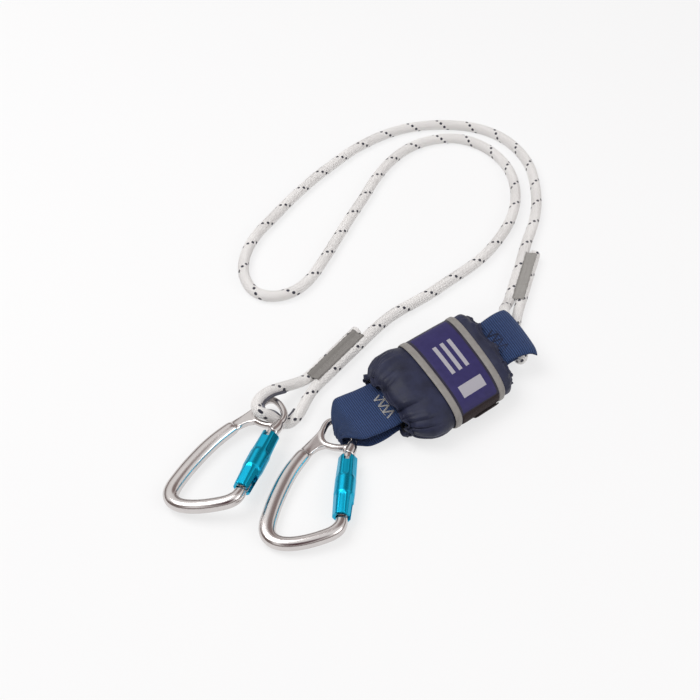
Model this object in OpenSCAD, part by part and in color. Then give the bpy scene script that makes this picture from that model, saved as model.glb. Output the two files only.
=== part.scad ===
// Energy-absorbing rope lanyard with a sewn pack and two twist-lock carabiners.
// Millimetres, +Z up. It lies on the plane z = 0, the surface it was put down on.

/* [Rope] */
// Diameter of the kernmantle rope
rope_d = 10.5; // [9.5:0.5:10.5]
// Diameter of the rope where it bends through an eye
eye_rope_d = 9.6; // [9:0.2:9.8]
// Diameter of the wire that the thimble is bent from
thimble_d = 2.2; // [1.6:0.2:2.4]
// Length of the stitched patch on each splice
patch_length = 66; // [50:1:68]
// Width of the stitched patch
patch_w = 13; // [10:1:16]

/* [Carabiners] */
// Diameter of the forged bar at the basket
bar_d = 10.6; // [9.6:0.2:10.6]
// Width of the forged bar along the spine
spine_w = 13.6; // [11:0.2:14]
// Diameter of the bar round the captive eye
eye_bar_d = 6; // [5:0.2:6]
// Outer diameter of the locking sleeve at its waist
sleeve_d = 17; // [15:0.5:17]
// Diameter of the gate rod
gate_d = 9.8; // [9.6:0.1:9.8]
// Diameter of the gate's hinge rivet
rivet_d = 3; // [2.6:0.1:3.2]

/* [Energy absorber] */
// Width of the webbing
webbing_w = 50; // [44:1:50]
// Thickness of the webbing
webbing_t = 2.4; // [1.8:0.2:2.4]
// Thickness of the cover's fabric
cover_t = 1.6; // [1:0.2:1.8]
// Width of each reflective strip
strip_w = 6; // [5:1:9]
// Distance of each reflective strip from the middle of the wrap
strip_x = 25; // [22:0.1:27]

/* [Hidden] */

// The middle of the metalwork and the pack, in the layout coordinates used below
middle = [6.6, -90.3, 0];
rope_r = rope_d / 2;
tube_sides = 12;

// Route of the rope over the floor, from splice a to splice b: [x, y]
rope_route = [
    [-28.5, -46.5], [-15, -28.5], [-1, -10], [12.5, 7.5], [26, 25], [41, 41], [58, 54],
    [76, 68], [92, 83], [109, 98], [126, 115], [142, 137], [156, 162], [166, 189],
    [171, 221], [168, 254], [157, 280], [141, 299], [120, 310], [98, 310], [76, 302],
    [56, 286], [39, 263], [25, 236], [14, 208], [2, 181], [-9, 154], [-19, 129],
    [-29, 105], [-40, 83], [-55, 68], [-74, 63], [-92, 72], [-102, 98], [-100, 127],
    [-91, 153], [-78, 175], [-65, 198], [-51, 220], [-36, 242], [-19, 263], [-2, 284],
    [17, 302], [37, 317], [58, 328], [80, 334], [102, 336], [125, 334], [146, 327],
    [165, 313], [180, 292], [190, 263], [192, 231], [190, 198], [183, 167], [173, 139],
    [163.5, 107.5], [155, 81], [147, 55.5]
];
// Free ends of the rope, sewn against its standing part: [from, to]
tail_a = [[-37.5, -39.6], [6, 18]];
tail_b = [[157, 52.4], [179, 121.4]];
// Round eye a: along the left leg, over the connector's ring, down through it and back under
eye_a_route = [
    [-37.5, -39.6, 5.25], [-47, -48, 9], [-58, -56.5, 14], [-68, -65, 18.6], [-75, -74, 20.5],
    [-77.5, -82.5, 21], [-74.6, -88.8, 20.6], [-70, -89, 18.2], [-65, -87.2, 12.8],
    [-58.6, -89.2, 7], [-50, -88, 5.25], [-43.5, -80, 5.25], [-39.5, -70, 5.25],
    [-34.5, -57, 5.25], [-28.5, -46.5, 5.25]
];
// The point of eye a's curve at its tightest bend, which the thimble cuts across
thimble_skip = 13;
// Round eye b: under the lower layer of the webbing, round its edge and back above that layer
eye_b_route = [
    [157, 52.4, 5.25], [153, 38, 5.25], [149.5, 22, 5.25], [148.5, 4, 5.25], [149.5, -12, 5.25],
    [152.2, -21.6, 5.25], [154.4, -25.8, 7.3], [155.4, -27.5, 12.2], [154.4, -25.8, 17.1],
    [152.2, -21.6, 19.2], [149.5, -12, 19.2], [145, 3, 19.2], [140, 17, 19.2],
    [138.4, 30, 18.8], [141.8, 43, 11], [147, 55.5, 5.25]
];

// The pack's own frame: +X along it towards the rope's end
pack_at = [89.5, -37, 0];
pack_turn = 29.5;
// Stations of the cover along the pack: [x, y of the middle, half width, lowest z, highest z]
cover_stations = [
    [-72, -5.5, 36, 3.2, 25], [-64, -6, 39.5, 2.8, 28], [-54, -6, 43, 2.6, 29],
    [-40, -5, 45, 2.6, 29], [-27, -4, 45.5, 2.6, 28.4], [-12, -2, 45.5, 2.6, 29],
    [6, 0.5, 45.5, 2.6, 29], [24, 3, 45.5, 2.6, 28.4], [32, 3.5, 43, 2.8, 27.6],
    [40, 4.5, 39, 3.6, 25]
];
cover_from = -72;
cover_to = 40;
// How far the pack's sections lean along the pack, for each millimetre across it, at the pack's
// middle, and how much that grows for each millimetre along it
lean = 0.052;
lean_growth = 0.00106;
hem_w = 5;
hem_t = 1;
// The label wrap goes all the way round the cover, and everything sewn to it stands on top of it
wrap_x = -3.4;
wrap_half = strip_x + strip_w / 2;
wrap_t = 1.1;
strip_t = 1;
label_t = 0.8;
// The label's panel: across the pack from the first to the second, and only above label_low
label_across = [-36, 38];
label_low = 15.5;
// The closing band's box in the pack's frame: [y from, y to, z from, z to]
closing_box = [-60, -36.6, 4, 32];
gap = 0.3;
strip_gap = 0.5;
patch_t = 0.9;
seam_t = 0.6;
// The tear webbing, folded to and fro inside the cover
tear_layers = 6;
tear_pitch = 3;
tear_half = 29;
tear_at = [-9, 22.5, 6.6];
// Centre line of each webbing loop in the pack's frame: [x, y, z, width, slant of the fold]
carabiner_loop_line = [
    [-42, -4, 21.5, 50, 0], [-58, -4, 19.2, 50, 0], [-72, -4, 16.1, 50, 0],
    [-86, -4, 15.2, 50, 0], [-98, -3, 14.4, 50, 0], [-106, -2.5, 14.2, 48, 0],
    [-112, -3.5, 14, 37, 0], [-116.6, -5.5, 13.2, 25, 0], [-118.8, -8.4, 11.2, 15, 0],
    [-119.2, -9.4, 8.6, 12, 0], [-118.8, -9.4, 4.4, 12, 0], [-117, -9.4, 1.9, 13, 0],
    [-112.6, -8, 1.3, 20, 0], [-106, -6, 1.3, 32, 0], [-98, -4, 1.6, 46, 0],
    [-86, -4, 4.5, 50, 0], [-72, -4, 8.8, 50, 0], [-58, -4, 9.9, 50, 0], [-42, -4, 10, 50, 0]
];
rope_loop_line = [
    [24, 4, 19, 50, 0], [34, 5, 18.2, 50, 0], [41, 5.5, 19, 50, 0.05], [48, 6, 22, 50, 0.1],
    [60, 6, 25.2, 50, 0.2],
    [70, 6, 25.4, 50, 0.25], [74.2, 6, 23, 50, 0.25], [75.6, 6, 19.2, 50, 0.25],
    [74.2, 7, 15.4, 48, 0.25], [70, 8, 12.9, 46, 0.25], [60, 8, 12.3, 46, 0.2],
    [48, 7.5, 12, 47, 0.1], [36, 5.5, 10.5, 49, 0], [24, 4, 10, 50, 0]
];

// A carabiner's own frame: +Y from the basket to the captive eye, +X towards the gate
carabiner_a_at = [-114.3, -142.8, 9.1];
carabiner_a_turn = [0, -11.6, -27.1];
carabiner_b_at = [-41.5, -172.6, 6.55];
carabiner_b_turn = [0, -3.6, -12];
// Centre line of the forged bar from nose to flank: [x, y, width, thickness]
bar_line = [
    [37.1, -5.5, 9.4, 9.4], [37.6, -9.5, 10, 10], [36.4, -14.4, bar_d, bar_d],
    [32.4, -19.3, bar_d, bar_d], [26, -23.8, bar_d, bar_d], [18, -28.3, bar_d, bar_d],
    [10, -31.8, bar_d, bar_d], [2, -34, bar_d, bar_d], [-5, -34.3, 11, bar_d],
    [-11.5, -32, 12, bar_d], [-16, -27, 13, bar_d], [-18, -20, spine_w, bar_d],
    [-18.3, -11, spine_w, bar_d], [-18, -1, spine_w, bar_d], [-17, 10, spine_w, bar_d],
    [-15.2, 22.5, spine_w, bar_d], [-12.5, 34, 13, bar_d], [-8.7, 45, 12.4, bar_d],
    [-4.5, 55, 11.4, 9.6], [-0.6, 64, 9.6, 8], [2.6, 72, 7, 6.4]
];
// Centre line of the captive eye's ring: [x, y]
ring_line = [
    [3.2, 71], [3.4, 80], [5.4, 86.5], [10.5, 89], [17.5, 86.8], [24.5, 81.8], [29.6, 75.6],
    [30.6, 69], [27.6, 64], [21.5, 62.2], [14, 62.2], [6.8, 64.6]
];
neck_line = [[29.6, 69, 6.4, 6.4], [30.2, 63, 9.6, 8], [29.2, 56.2, 10.4, 9.6]];
flank = [[-7, 57], [-1, 72], [3.4, 84], [6, 70], [11, 62], [4, 58], [-1.5, 50]];
flank_t = 5;
hinge = [30, 50];
gate_tilt = 7.33;
tongue_t = 4;
tongue_r = 4.4;
// How far the tongue's shank reaches towards the spine, so that the sleeve's end swings past it
tongue_relief = 2.8;
tongue_clear = 0.3;
// The key on the nose that the gate's open slot closes over: its width, and where the nose starts
key_w = 7.2;
nose_z = 55.6;
rivet_clear = 0.05;
rivet_l = 9;
// The gate's rod, along Z in the gate's frame
gate_from = -6;
gate_to = 53.5;
fork_r = 5.2;
nose_slot_z = 43;
plunger_r = 1.5;
plunger_l = 4.4;
plunger_bore = [4, 22];
// The turned-down length that the sleeve's spring is wound on
waist = [15, 35];
waist_r = 3.7;
pin_z = 39;
pin_r = 0.8;
pin_from = 2.4;
pin_l = 3.6;
spring_turns = 6;
sleeve_from = -2.8;
sleeve_to = 54.6;
sleeve_bore = gate_d / 2 + 0.08;
// The raised band round the sleeve's middle
band = [19.6, 33.4];
window_w = 5.8;
window_z = 41;
rivet_window = [5.2, 3];
// The groove inside the sleeve that the guide pin runs in: its outer radius, height and angles
groove_r = 6.4;
groove_h = 2;
groove_turn = [-104, 14];
flute_r = 1.7;
flute_out = 0.9;
// Where the flutes end towards the band, below it and above it
flute_ends = [12.2, 39];
$fn = 48;

// ---- functions ----

function unit(v) = v / norm(v);
function curve_point(a, b, c, d, t) =
    0.5 * (2 * b + (c - a) * t + (2 * a - 5 * b + 4 * c - d) * t * t
        + (3 * b - a - 3 * c + d) * t * t * t);
// A smooth curve through open points, with some steps between each two
function open_curve(p, steps) = let (n = len(p)) concat(
    [for (i = [0 : n - 2]) for (k = [0 : steps - 1])
        curve_point(p[max(i - 1, 0)], p[i], p[i + 1], p[min(i + 2, n - 1)], k / steps)],
    [p[n - 1]]);
function closed_curve(p, steps) = let (n = len(p))
    [for (i = [0 : n - 1]) for (k = [0 : steps - 1])
        curve_point(p[(i + n - 1) % n], p[i], p[(i + 1) % n], p[(i + 2) % n], k / steps)];
// One ring of a swept bar: w wide along side, which lies across the route, and h high
function ring(at, way, side, w, h, sides) =
    let (up = cross(way, side))
    [for (j = [0 : sides - 1]) let (a = 360 * (j + 0.5) / sides)
        at + side * w / 2 * cos(a) + up * h / 2 * sin(a)];
// The sideways direction at each point of p, carried along it so that it never flips over
function carried(p) =
    [for (i = 0, s = unit(cross([0, 0, 1], way_at(p, 0))); i < len(p);
        i = i + 1, w = way_at(p, min(i, len(p) - 1)), s = unit(s - w * (s * w))) s];
function side_faces(rings, sides) =
    [for (i = [0 : rings - 2]) for (j = [0 : sides - 1])
        [i * sides + j, (i + 1) * sides + j, (i + 1) * sides + (j + 1) % sides,
         i * sides + (j + 1) % sides]];
function cap_faces(rings, sides) = [
    [for (j = [0 : sides - 1]) j],
    [for (j = [sides - 1 : -1 : 0]) (rings - 1) * sides + j]
];
function way_at(p, i) = unit(p[min(i + 1, len(p) - 1)] - p[max(i - 1, 0)]);
function superellipse(at, half_w, half_h, sides) =
    [for (j = [0 : sides - 1]) let (a = 360 * j / sides, c = cos(a), s = sin(a), q = 2 / 2.7)
        at + [0, half_w * sign(c) * pow(abs(c), q), half_h * sign(s) * pow(abs(s), q)]];

// ---- shapes that repeat ----

// A bar swept along p, where every point is [x, y, z] and size gives [width, height]
module sweep(p, size, sides = tube_sides) {
    rings = len(p);
    side = carried(p);
    points = [for (i = [0 : rings - 1]) each
        ring(p[i], way_at(p, i), side[i], size[i][0], size[i][1], sides)];
    polyhedron(points, concat(side_faces(rings, sides), cap_faces(rings, sides)));
}

module tube(route, steps, d) {
    p = open_curve(route, steps);
    sweep(p, [for (q = p) [d, d]]);
}

module flat_bar(line, steps, sides) {
    p = open_curve(line, steps);
    sweep([for (q = p) [q[0], q[1], 0]], [for (q = p) [q[2], q[3]]], sides);
}

module closed_bar(line, steps, d, sides) {
    p = [for (q = closed_curve(line, steps)) [q[0], q[1], 0]];
    n = len(p);
    points = [for (i = [0 : n - 1]) let (way = unit(p[(i + 1) % n] - p[(i + n - 1) % n]))
        each ring(p[i], way, cross([0, 0, 1], way), d, d, sides)];
    faces = [for (i = [0 : n - 1]) for (j = [0 : sides - 1])
        [i * sides + j, ((i + 1) % n) * sides + j, ((i + 1) % n) * sides + (j + 1) % sides,
         i * sides + (j + 1) % sides]];
    polyhedron(points, faces);
}

// A strap whose width lies across the pack; each point of line is [x, y, z, width, slant]
module strap(line, t) {
    rings = len(line);
    points = [for (i = [0 : rings - 1]) let (
        p = line[i], a = line[max(i - 1, 0)], b = line[min(i + 1, rings - 1)],
        way = unit([b[0] - a[0], 0, b[2] - a[2]]), out = [-way[2], 0, way[0]] * t / 2,
        edge = [p[4], 1, 0] * p[3] / 2, at = [p[0], p[1], p[2]])
        each [at + edge + out, at - edge + out, at - edge - out, at + edge - out]];
    faces = [for (f = side_faces(rings, 4)) each [[f[0], f[1], f[2]], [f[0], f[2], f[3]]]];
    polyhedron(points, concat(faces, cap_faces(rings, 4)));
}

// A solid along the pack from x0 to x1 that follows the cover's outside, grown by some amount
module pack_form(x0, x1, grow, over = 0) {
    s = cover_stations;
    xs = concat([x0], [for (q = s) if (q[0] > x0 + 1 && q[0] < x1 - 1) q[0]], [x1]);
    at = [for (x = xs) [for (k = [1 : 4]) lookup(x, [for (q = s) [q[0], q[k]]])]];
    rings = len(xs);
    sides = 32;
    points = [for (i = [0 : rings - 1]) let (
        x = i == 0 ? xs[i] - over : i == rings - 1 ? xs[i] + over : xs[i],
        low = at[i][2] - grow, high = at[i][3] + grow)
        for (p = superellipse([x, at[i][0], (low + high) / 2], at[i][1] + grow,
            (high - low) / 2, sides))
            p + [(lean + lean_growth * p[0]) * (p[1] - at[i][0]), 0, 0]];
    polyhedron(points, concat(side_faces(rings, sides), cap_faces(rings, sides)));
}

// A band round the pack, t thick, whose inside is grow away from the cover's outside
module pack_band(x0, x1, grow, t) {
    difference() {
        pack_form(x0, x1, grow + t);
        pack_form(x0, x1, grow, 1);
    }
}

module rod(ends, z, d) {
    way = ends[1] - ends[0];
    translate([ends[0][0], ends[0][1], z])
        rotate([0, 90, atan2(way[1], way[0])])
            cylinder(h = norm(way), d = d);
}

module helix(r, wire, from, length, turns) {
    n = turns * 12;
    sides = 6;
    p = [for (i = [0 : n]) let (a = 360 * turns * i / n)
        [r * cos(a), r * sin(a), from + length * i / n]];
    points = [for (i = [0 : n]) let (way = way_at(p, i), a = 360 * turns * i / n,
        out = [cos(a), sin(a), 0], up = cross(way, out))
        each [for (j = [0 : sides - 1]) p[i] + wire / 2 *
            (out * cos(360 * j / sides) + up * sin(360 * j / sides))]];
    faces = [for (f = side_faces(n + 1, sides)) each [[f[0], f[1], f[2]], [f[0], f[2], f[3]]]];
    polyhedron(points, concat(faces, cap_faces(n + 1, sides)));
}

module layout() { translate(-middle) children(); }
module in_pack() { layout() translate(pack_at) rotate([0, 0, pack_turn]) children(); }
module in_carabiner(which) {
    at = which == "a" ? carabiner_a_at : carabiner_b_at;
    turn = which == "a" ? carabiner_a_turn : carabiner_b_turn;
    layout() translate(at) rotate(turn) children();
}
// The gate's frame: origin on the hinge, +Z along the rod to the nose, +X away from the spine
module in_gate(which) {
    in_carabiner(which) translate([hinge[0], hinge[1], 0]) rotate([90, 0, gate_tilt]) children();
}

// ---- rope ----

module rope() {
    color("white") layout() tube([for (q = rope_route) [q[0], q[1], rope_r]], 1, rope_d);
}

module rope_eye(route) {
    color("ivory") layout() tube(route, 2, eye_rope_d);
}

module rope_tail(ends) {
    color("white") layout() rod(ends, rope_r, rope_d);
}

// Machine-sewn patch over the two strands of a splice
module splice_stitching(ends, offset_y) {
    way = ends[1] - ends[0];
    color("gray") layout() translate([ends[0][0], ends[0][1], rope_d + gap])
        rotate([0, 0, atan2(way[1], way[0])])
            translate([2, offset_y - patch_w / 2, 0]) cube([patch_length, patch_w, patch_t]);
}

// Metal lining along the inside of eye a
module thimble() {
    p = open_curve(eye_a_route, 2);
    n = len(p);
    inside = eye_rope_d / 2 + 3 * gap + thimble_d / 2;
    line = [for (i = [2 : n - 3]) if (i != thimble_skip)
        p[i] + inside * unit(cross([0, 0, 1], way_at(p, i)))];
    color("silver") layout() sweep(line, [for (q = line) [thimble_d, thimble_d]], 8);
}

// ---- energy absorber ----

module webbing_loop(line) {
    color("darkslateblue") in_pack() strap(line, webbing_t);
}

// Zigzag seam lying on a loop's upper layer
module box_stitching(x, y, z, slope) {
    zig = 5;
    step = 7;
    color("lightgray") in_pack() translate([x, y, z]) rotate([0, slope, 0])
        linear_extrude(seam_t) polygon(concat(
            [for (i = [0 : 5]) [(i % 2) * zig, (i - 2.5) * step]],
            [for (i = [5 : -1 : 0]) [(i % 2) * zig + 1, (i - 2.5) * step]]));
}

module tear_webbing() {
    color("darkslategray") in_pack() translate(tear_at)
        rotate([90, 0, 0]) linear_extrude(webbing_w) {
            for (k = [0 : tear_layers - 1]) translate([-tear_half, k * tear_pitch])
                square([2 * tear_half, webbing_t]);
            for (k = [0 : tear_layers - 2])
                translate([k % 2 == 0 ? tear_half - 1 : -tear_half, k * tear_pitch])
                    square([1, tear_pitch + webbing_t]);
        }
}

module cover() {
    color("midnightblue") in_pack() difference() {
        pack_form(cover_from, cover_to, 0);
        pack_form(cover_from, cover_to, -cover_t, 1);
    }
}

module hem_elastic(x) {
    color("black") in_pack() pack_band(x, x + hem_w, -cover_t - hem_t - 0.1, hem_t);
}

module label_wrap() {
    color("darkblue") in_pack() pack_band(wrap_x - wrap_half, wrap_x + wrap_half, gap, wrap_t);
}

module label_panel() {
    inner = strip_x - strip_w / 2 - 1;
    color("slateblue") in_pack() intersection() {
        pack_band(wrap_x - inner, wrap_x + inner, wrap_t + strip_gap, label_t);
        translate([-50, label_across[0], label_low])
            cube([100, label_across[1] - label_across[0], 40]);
    }
}

module reflective_strip(x) {
    color("lightgray") in_pack()
        pack_band(wrap_x + x - strip_w / 2, wrap_x + x + strip_w / 2, wrap_t + strip_gap, strip_t);
}

module hook_and_loop_strip() {
    inner = strip_x - strip_w / 2 - 1;
    color("black") in_pack() intersection() {
        pack_band(wrap_x - inner, wrap_x + inner, wrap_t + strip_gap, strip_t);
        translate([-50, closing_box[0], closing_box[2]])
            cube([100, closing_box[1] - closing_box[0], closing_box[3] - closing_box[2]]);
    }
}

// ---- carabiner ----

module carabiner_body(which) {
    color("silver") {
        in_carabiner(which) {
            flat_bar(bar_line, 3, 20);
            closed_bar(ring_line, 3, eye_bar_d, 12);
            flat_bar(neck_line, 3, 16);
            translate([0, 0, -flank_t / 2]) linear_extrude(flank_t) polygon(flank);
        }
        in_gate(which) {
            difference() {
                tongue();
                rotate([90, 0, 0])
                    cylinder(h = 2 * tongue_t, d = rivet_d + 2 * rivet_clear, center = true);
            }
            translate([-key_w / 2, -tongue_t / 2, nose_z - 10.5]) cube([key_w, tongue_t, 12]);
        }
    }
}

module tongue() {
    rotate([90, 0, 0]) cylinder(h = tongue_t, r = tongue_r, center = true);
    translate([-tongue_relief, -tongue_t / 2, -8])
        cube([tongue_relief + tongue_r, tongue_t, 8]);
}

module gate(which) {
    slot = tongue_t + 2 * tongue_clear;
    color("silver") in_gate(which) difference() {
        intersection() {
            translate([0, 0, gate_from]) cylinder(h = gate_to - gate_from, d = gate_d);
            union() {
                rotate([90, 0, 0]) cylinder(h = 20, r = fork_r, center = true);
                translate([-10, -10, 0]) cube([20, 20, 60]);
            }
        }
        translate([-10, -slot / 2, -10]) cube([20, slot, 10 + tongue_r + 0.9]);
        translate([-10, -slot / 2, nose_slot_z]) cube([20, slot, 20]);
        rotate([90, 0, 0]) cylinder(h = 20, d = rivet_d, center = true);
        translate([0, 0, plunger_bore[0]])
            cylinder(h = plunger_bore[1] - plunger_bore[0], r = plunger_r + rivet_clear);
        translate([0, 0, waist[0]]) difference() {
            cylinder(h = waist[1] - waist[0], d = gate_d + 1);
            translate([0, 0, -1]) cylinder(h = waist[1] - waist[0] + 2, r = waist_r);
        }
        translate([pin_from, 0, pin_z]) rotate([0, 90, 0]) cylinder(h = 10, r = pin_r);
    }
}

module gate_rivet(which) {
    color("dimgray") in_gate(which)
        rotate([90, 0, 0]) cylinder(h = rivet_l, d = rivet_d, center = true);
}

module gate_plunger(which) {
    color("gray") in_gate(which) 
        translate([0, 0, tongue_r + 0.2]) cylinder(h = plunger_l, r = plunger_r);
}

module gate_spring(which) {
    color("gray") in_gate(which) helix(1.15, 0.5, 9.5, 11.8, spring_turns);
}

module locking_sleeve(which) {
    r = sleeve_d / 2;
    color("deepskyblue") in_gate(which) difference() {
        rotate_extrude() polygon([
            [sleeve_bore, sleeve_from], [r - 1.5, sleeve_from], [r - 0.9, 8],
            [r - 0.2, band[0] - 0.6], [r, band[0]], [r, band[1]], [r - 0.2, band[1] + 0.6],
            [r - 0.9, 45], [r - 1.4, sleeve_to],
            [sleeve_bore, sleeve_to]
        ]);
        // The window that lets the nose out when it is turned to face away from the spine
        translate([0, -window_w / 2, window_z]) cube([20, window_w, 20]);
        // The opening over the rivet's head
        translate([-rivet_window[0] / 2, 0, sleeve_from])
            translate([0, 0, -1]) cube([rivet_window[0], 20, rivet_window[1] - sleeve_from + 1]);
        // The groove that the guide pin runs in
        translate([0, 0, pin_z - groove_h / 2]) rotate([0, 0, groove_turn[0]])
            rotate_extrude(angle = groove_turn[1] - groove_turn[0])
                translate([groove_r - 2.4, 0]) square([2.4, groove_h]);
        for (k = [0 : 5]) rotate([0, 0, 60 * k + 30]) {
            translate([r + flute_out, 0, sleeve_from - 1])
                cylinder(h = flute_ends[0] - sleeve_from + 1, r = flute_r);
            translate([r + flute_out, 0, flute_ends[1]]) cylinder(h = 20, r = flute_r);
        }
    }
}

module sleeve_spring(which) {
    color("gray") in_gate(which) helix(4.33, 0.7, 16, 18, spring_turns);
}

module guide_pin(which) {
    color("gray") in_gate(which)
        translate([pin_from, 0, pin_z]) rotate([0, 90, 0]) cylinder(h = pin_l, r = pin_r);
}

rope();
rope_eye(eye_a_route);  // rope_eye_a
rope_eye(eye_b_route);  // rope_eye_b
rope_tail(tail_a);  // rope_tail_a
rope_tail(tail_b);  // rope_tail_b
splice_stitching(tail_a, -rope_r);  // splice_stitching_a
splice_stitching(tail_b, rope_r);  // splice_stitching_b
thimble();
webbing_loop(carabiner_loop_line);  // carabiner_loop
webbing_loop(rope_loop_line);  // rope_loop
box_stitching(-81, -8, 17.3, -7);  // carabiner_loop_stitching
box_stitching(43, 4, 22.2, -21);  // rope_loop_stitching
tear_webbing();
cover();
hem_elastic(-71);  // hem_elastic_left
hem_elastic(34);  // hem_elastic_right
label_wrap();
label_panel();
reflective_strip(-strip_x);  // reflective_strip_left
reflective_strip(strip_x);  // reflective_strip_right
hook_and_loop_strip();
carabiner_body("a");  // carabiner_body_a
gate("a");  // gate_a
gate_rivet("a");  // gate_rivet_a
gate_plunger("a");  // gate_plunger_a
gate_spring("a");  // gate_spring_a
locking_sleeve("a");  // locking_sleeve_a
sleeve_spring("a");  // sleeve_spring_a
guide_pin("a");  // guide_pin_a
carabiner_body("b");  // carabiner_body_b
gate("b");  // gate_b
gate_rivet("b");  // gate_rivet_b
gate_plunger("b");  // gate_plunger_b
gate_spring("b");  // gate_spring_b
locking_sleeve("b");  // locking_sleeve_b
sleeve_spring("b");  // sleeve_spring_b
guide_pin("b");  // guide_pin_b
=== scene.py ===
import math
import random

import bmesh
import bpy
import numpy as np
from mathutils import Matrix, Vector

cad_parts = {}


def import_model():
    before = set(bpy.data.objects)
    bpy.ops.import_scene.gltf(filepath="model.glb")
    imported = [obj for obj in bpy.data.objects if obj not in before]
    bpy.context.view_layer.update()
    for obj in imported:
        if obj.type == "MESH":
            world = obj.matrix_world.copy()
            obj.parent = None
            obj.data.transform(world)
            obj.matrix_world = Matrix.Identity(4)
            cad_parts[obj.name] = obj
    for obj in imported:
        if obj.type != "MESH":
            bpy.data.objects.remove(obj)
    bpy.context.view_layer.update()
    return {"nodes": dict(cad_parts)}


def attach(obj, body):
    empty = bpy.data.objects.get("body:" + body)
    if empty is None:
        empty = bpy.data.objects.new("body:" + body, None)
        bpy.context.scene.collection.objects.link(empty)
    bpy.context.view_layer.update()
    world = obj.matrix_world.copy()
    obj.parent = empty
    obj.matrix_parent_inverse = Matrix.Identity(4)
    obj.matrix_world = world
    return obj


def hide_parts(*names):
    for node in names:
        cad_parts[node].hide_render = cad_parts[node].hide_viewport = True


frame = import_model()
nodes = frame["nodes"]
ROOT = "absorber_and_rope"
# The origin of the row frame in the layout's millimetres, as the CAD source has it
MIDDLE = np.array([6.6, -90.3, 0.0])
draw = random.Random(7)


def metres(points):
    return (np.array(points, float) - MIDDLE) / 1000


# ---- camera ----

camera = bpy.data.objects.new("camera", bpy.data.cameras.new("camera"))
bpy.context.scene.collection.objects.link(camera)
CAMERA_AT = [0, -639.5, 685.8]
camera.location = metres(CAMERA_AT)
camera.rotation_mode = "QUATERNION"
aim = Vector(metres([0, 0, 0])) - camera.location
camera.rotation_quaternion = aim.to_track_quat("-Z", "Y")
camera.data.lens, camera.data.sensor_width = 54, 36
camera.data.clip_start, camera.data.clip_end = 0.05, 20
bpy.context.scene.camera = camera


# ---- curves and meshes ----


def curve(points, steps):
    """A Catmull-Rom curve through open points, as in the CAD source."""
    p = np.array(points, float)
    n = len(p)
    out = []
    for i in range(n - 1):
        a, b, c, d = p[max(i - 1, 0)], p[i], p[i + 1], p[min(i + 2, n - 1)]
        for t in np.arange(steps) / steps:
            out.append(
                0.5 * (2 * b + (c - a) * t + (2 * a - 5 * b + 4 * c - d) * t**2
                       + (3 * b - a - 3 * c + d) * t**3)
            )
    return np.array(out + [p[-1]])


def closed_curve(points, steps):
    p = [points[-1], *points, points[0], points[1]]
    return curve(p, steps)[steps:-steps][: len(points) * steps]


def even(line, step):
    """The same line with points about step apart, and how far along each one is."""
    line = np.array(line, float)
    far = np.concatenate([[0], np.cumsum(np.linalg.norm(np.diff(line, axis=0), axis=1))])
    at = np.linspace(0, far[-1], max(2, int(round(far[-1] / step)) + 1))
    return np.stack([np.interp(at, far, line[:, k]) for k in range(line.shape[1])], 1), at


def ways(p, closed=False):
    if closed:
        w = np.roll(p, -1, 0) - np.roll(p, 1, 0)
    else:
        w = np.gradient(p, axis=0)
    return w / np.linalg.norm(w, axis=1)[:, None]


def carried(p, first=(0, 0, 1)):
    """Sideways and upward directions along p, carried along so that they never flip."""
    w = ways(p)
    side = np.cross(first, w[0])
    out = []
    for k in w:
        side = side - k * (side @ k)
        side = side / np.linalg.norm(side)
        out.append(side)
    out = np.array(out)
    return w, out, np.cross(w, out)


def mesh_object(name, verts, faces, uv=None):
    me = bpy.data.meshes.new(name)
    me.from_pydata([tuple(v) for v in verts], [], [tuple(f) for f in faces])
    if uv is not None:
        layer = me.uv_layers.new(name="route")
        layer.data.foreach_set("uv", np.array(uv, np.float32).ravel())
    me.update()
    me.polygons.foreach_set("use_smooth", [True] * len(me.polygons))
    o = bpy.data.objects.new(name, me)
    bpy.context.scene.collection.objects.link(o)
    return o


def grid_faces(rows, cols, wrap_rows=False, wrap_cols=True):
    """Quads between rows of points, with each face's place for its texture coordinates."""
    r = np.arange(rows if wrap_rows else rows - 1)
    c = np.arange(cols if wrap_cols else cols - 1)
    i, j = [k.ravel() for k in np.meshgrid(r, c, indexing="ij")]
    i2, j2 = (i + 1) % rows, (j + 1) % cols
    faces = np.stack([i * cols + j, i * cols + j2, i2 * cols + j2, i2 * cols + j], 1)
    corners = np.stack(
        [np.stack([i, j], 1), np.stack([i, j + 1], 1), np.stack([i + 1, j + 1], 1),
         np.stack([i + 1, j], 1)], 1,
    ).astype(float)
    return faces, corners


def tube_parts(p, radii, sides, at=None, relief=None):
    """Points, faces and texture coordinates of a tube with closed ends."""
    w, side, up = carried(p)
    n = len(p)
    a = 2 * math.pi * np.arange(sides) / sides
    r = np.array(radii, float)[:, None] + (0 if relief is None else relief)
    ring = (
        p[:, None] + side[:, None] * (r * np.cos(a))[..., None]
        + up[:, None] * (r * np.sin(a))[..., None]
    )
    faces, corners = grid_faces(n, sides)
    along = np.arange(n + 1, dtype=float) if at is None else np.append(at, at[-1])
    uv = np.stack([along[corners[..., 0].astype(int)], corners[..., 1] / sides], -1)
    verts = np.concatenate([ring.reshape(-1, 3), p[:1], p[-1:]])
    caps = [(n * sides, (j + 1) % sides, j) for j in range(sides)]
    last = (n - 1) * sides
    caps += [(n * sides + 1, last + j, last + (j + 1) % sides) for j in range(sides)]
    uv = list(uv.reshape(-1, 2)) + [(0.0, 0.5)] * 3 * len(caps)
    return verts, [tuple(f) for f in faces] + caps, uv


def tube(name, p, radius, sides=10):
    radii = np.full(len(p), radius) if np.isscalar(radius) else radius
    verts, faces, uv = tube_parts(np.array(p, float), radii, sides)
    return mesh_object(name, verts, faces, uv)


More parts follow.
